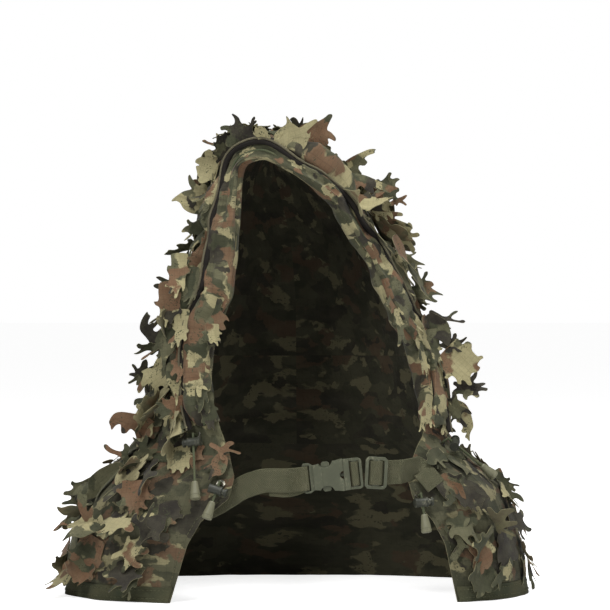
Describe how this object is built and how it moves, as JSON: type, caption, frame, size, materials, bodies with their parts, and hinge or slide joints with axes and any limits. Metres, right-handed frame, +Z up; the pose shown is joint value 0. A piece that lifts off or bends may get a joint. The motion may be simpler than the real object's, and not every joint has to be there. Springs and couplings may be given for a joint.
{
  "type": "ghillie suit hood and shoulder cape",
  "caption": "Ghillie suit hood and shoulder cape: camouflage cloth hung with cut fabric leaves, drawcord face opening, open front closed by a buckled chest strap.",
  "frame": {"origin": "centre of the overall box, at the level of the cape's hem", "axes": "+X towards the wearer's left, -Y out of the front of the garment, +Z up through the crown"},
  "size_m": [0.5164, 0.2992, 0.4947],
  "materials": {
    "cloth_forest": "matt printed ripstop, dark green ground",
    "cloth_olive": "matt printed ripstop, olive ground",
    "cloth_straw": "matt printed leaf cloth, light straw and olive",
    "cloth_rust": "matt printed leaf cloth, red brown",
    "webbing": "ribbed woven webbing",
    "cord": "braided cord",
    "resin": "moulded, fine texture",
    "bell_resin": "moulded, satin",
    "eyelet_metal": "dark painted rim with worn edges",
    "spring_steel": "bright wire"
  },
  "bodies": {
    "cape": {"cape_left_front": "cloth_olive", "cape_right_front": "cloth_olive", "cape_back_panel": "cloth_olive", "hem_binding": "cloth_forest", "shoulder_tape_left": "cloth_forest", "shoulder_tape_right": "cloth_forest", "neck_tape": "cloth_forest", "cowl_left": "cloth_forest", "cowl_right": "cloth_forest", "face_tunnel_lower_left": "cloth_olive", "face_tunnel_lower_right": "cloth_olive", "drawcord_run_left": "cord", "drawcord_run_right": "cord", "leaf_strips_cape_left": "cloth_rust", "leaf_strips_cape_right": "cloth_rust", "leaf_strips_cape_back": "cloth_straw", "leaf_strips_cowl_left": "cloth_straw", "leaf_strips_cowl_right": "cloth_straw", "strap_web_left": "webbing", "buckle_socket": "resin", "strap_web_right": "webbing", "eyelets": "eyelet_metal", "cord_exits": "cord"},
    "hood": {"hood_left_panel": "cloth_forest", "hood_right_panel": "cloth_forest", "crown_seam_tape": "cloth_forest", "nape_seam_tape": "cloth_forest", "face_tunnel": "cloth_olive", "brow_drawcord": "cord", "leaf_strips_hood_left": "cloth_straw", "leaf_strips_hood_right": "cloth_rust", "leaf_strips_crown": "cloth_straw"},
    "plug": {"buckle_plug": "resin", "plug_web_wrap": "webbing"},
    "prong_upper": {"prong_upper": "resin"},
    "prong_lower": {"prong_lower": "resin"},
    "slider": {"slider_bar_frame": "resin", "slider_web_wrap": "webbing"},
    "tail_brow_left": {"cord_brow_left": "cord", "bell_brow_left": "bell_resin"},
    "lock_brow_left": {"lock_barrel_brow_left": "resin", "lock_spring_brow_left": "spring_steel"},
    "button_brow_left": {"lock_button_brow_left": "resin"},
    "tail_brow_right": {"cord_brow_right": "cord", "bell_brow_right": "bell_resin"},
    "lock_brow_right": {"lock_barrel_brow_right": "resin", "lock_spring_brow_right": "spring_steel"},
    "button_brow_right": {"lock_button_brow_right": "resin"},
    "tail_neck_left": {"cord_neck_left": "cord", "bell_neck_left": "bell_resin"},
    "lock_neck_left": {"lock_barrel_neck_left": "resin", "lock_spring_neck_left": "spring_steel"},
    "button_neck_left": {"lock_button_neck_left": "resin"},
    "tail_neck_right": {"cord_neck_right": "cord", "bell_neck_right": "bell_resin"},
    "lock_neck_right": {"lock_barrel_neck_right": "resin", "lock_spring_neck_right": "spring_steel"},
    "button_neck_right": {"lock_button_neck_right": "resin"}
  },
  "joints": [
    {"name": "hood_tilt", "type": "hinge", "parent": "cape", "child": "hood", "pos_m": [0, 0.0245, 0.19], "axis": [-1, 0, 0], "range_deg": [-8, 32], "deforming": ["cowl_left", "cowl_right", "face_tunnel_lower_left", "face_tunnel_lower_right", "drawcord_run_left", "drawcord_run_right", "leaf_strips_cowl_left", "leaf_strips_cowl_right"]},
    {"name": "plug_slide", "type": "slide", "parent": "cape", "child": "plug", "axis": [0.9945, 0, 0.1045], "range_m": [0, 0.03], "deforming": ["prong_upper", "prong_lower", "strap_web_right"]},
    {"name": "prong_upper_squeeze", "type": "hinge", "parent": "plug", "child": "prong_upper", "pos_m": [0.0505, -0.1375, 0.14121], "axis": [0, -1, 0], "range_deg": [0, 10.5], "stiffness_Nm_per_rad": 0.3},
    {"name": "prong_lower_squeeze", "type": "hinge", "parent": "plug", "child": "prong_lower", "pos_m": [0.05226, -0.1375, 0.1245], "axis": [0, -1, 0], "range_deg": [-10.5, 0], "stiffness_Nm_per_rad": 0.3},
    {"name": "slider_adjust", "type": "slide", "parent": "plug", "child": "slider", "axis": [1, 0, 0], "range_m": [0, 0.008]},
    {"name": "cord_brow_left_swing", "type": "hinge", "parent": "cape", "child": "tail_brow_left", "pos_m": [-0.10767, -0.11373, 0.17325], "axis": [-0.2938, -0.9002, 0.3214], "range_deg": [-25, 2]},
    {"name": "lock_brow_left_slide", "type": "slide", "parent": "tail_brow_left", "child": "lock_brow_left", "axis": [0.0501, -0.3503, -0.9353], "range_m": [0, 0.022]},
    {"name": "lock_brow_left_press", "type": "slide", "parent": "lock_brow_left", "child": "button_brow_left", "axis": [0.9546, -0.2586, 0.148], "range_m": [0, 0.0035], "stiffness_N_per_m": 400, "deforming": ["lock_spring_brow_left"]},
    {"name": "cord_brow_right_swing", "type": "hinge", "parent": "cape", "child": "tail_brow_right", "pos_m": [0.15939, -0.07163, 0.16612], "axis": [0.6357, -0.3766, 0.6738], "range_deg": [-20, 20]},
    {"name": "lock_brow_right_slide", "type": "slide", "parent": "tail_brow_right", "child": "lock_brow_right", "axis": [0.7628, 0.1729, -0.6231], "range_m": [0, 0.022]},
    {"name": "lock_brow_right_press", "type": "slide", "parent": "lock_brow_right", "child": "button_brow_right", "axis": [-0.1182, -0.9101, -0.3972], "range_m": [0, 0.0035], "stiffness_N_per_m": 400, "deforming": ["lock_spring_brow_right"]},
    {"name": "cord_neck_left_swing", "type": "hinge", "parent": "cape", "child": "tail_neck_left", "pos_m": [-0.07938, -0.13556, 0.12477], "axis": [-0.137, -0.9486, 0.2854], "range_deg": [-7, 25]},
    {"name": "lock_neck_left_slide", "type": "slide", "parent": "tail_neck_left", "child": "lock_neck_left", "axis": [-0.3268, -0.2288, -0.917], "range_m": [0, 0.006]},
    {"name": "lock_neck_left_press", "type": "slide", "parent": "lock_neck_left", "child": "button_neck_left", "axis": [-0.9351, 0.2189, 0.2786], "range_m": [0, 0.0035], "stiffness_N_per_m": 400, "deforming": ["lock_spring_neck_left"]},
    {"name": "cord_neck_right_swing", "type": "hinge", "parent": "cape", "child": "tail_neck_right", "pos_m": [0.12791, -0.12994, 0.1122], "axis": [0.2571, -0.9342, 0.2475], "range_deg": [-20, 25]},
    {"name": "lock_neck_right_slide", "type": "slide", "parent": "tail_neck_right", "child": "lock_neck_right", "axis": [0.1351, -0.2188, -0.9664], "range_m": [0, 0.006]},
    {"name": "lock_neck_right_press", "type": "slide", "parent": "lock_neck_right", "child": "button_neck_right", "axis": [-0.9569, -0.2819, -0.0699], "range_m": [0, 0.0035], "stiffness_N_per_m": 400, "deforming": ["lock_spring_neck_right"]}
  ],
  "couplings": [
    {"joint": "prong_lower_squeeze", "follows": "prong_upper_squeeze", "ratio": -1}
  ]
}
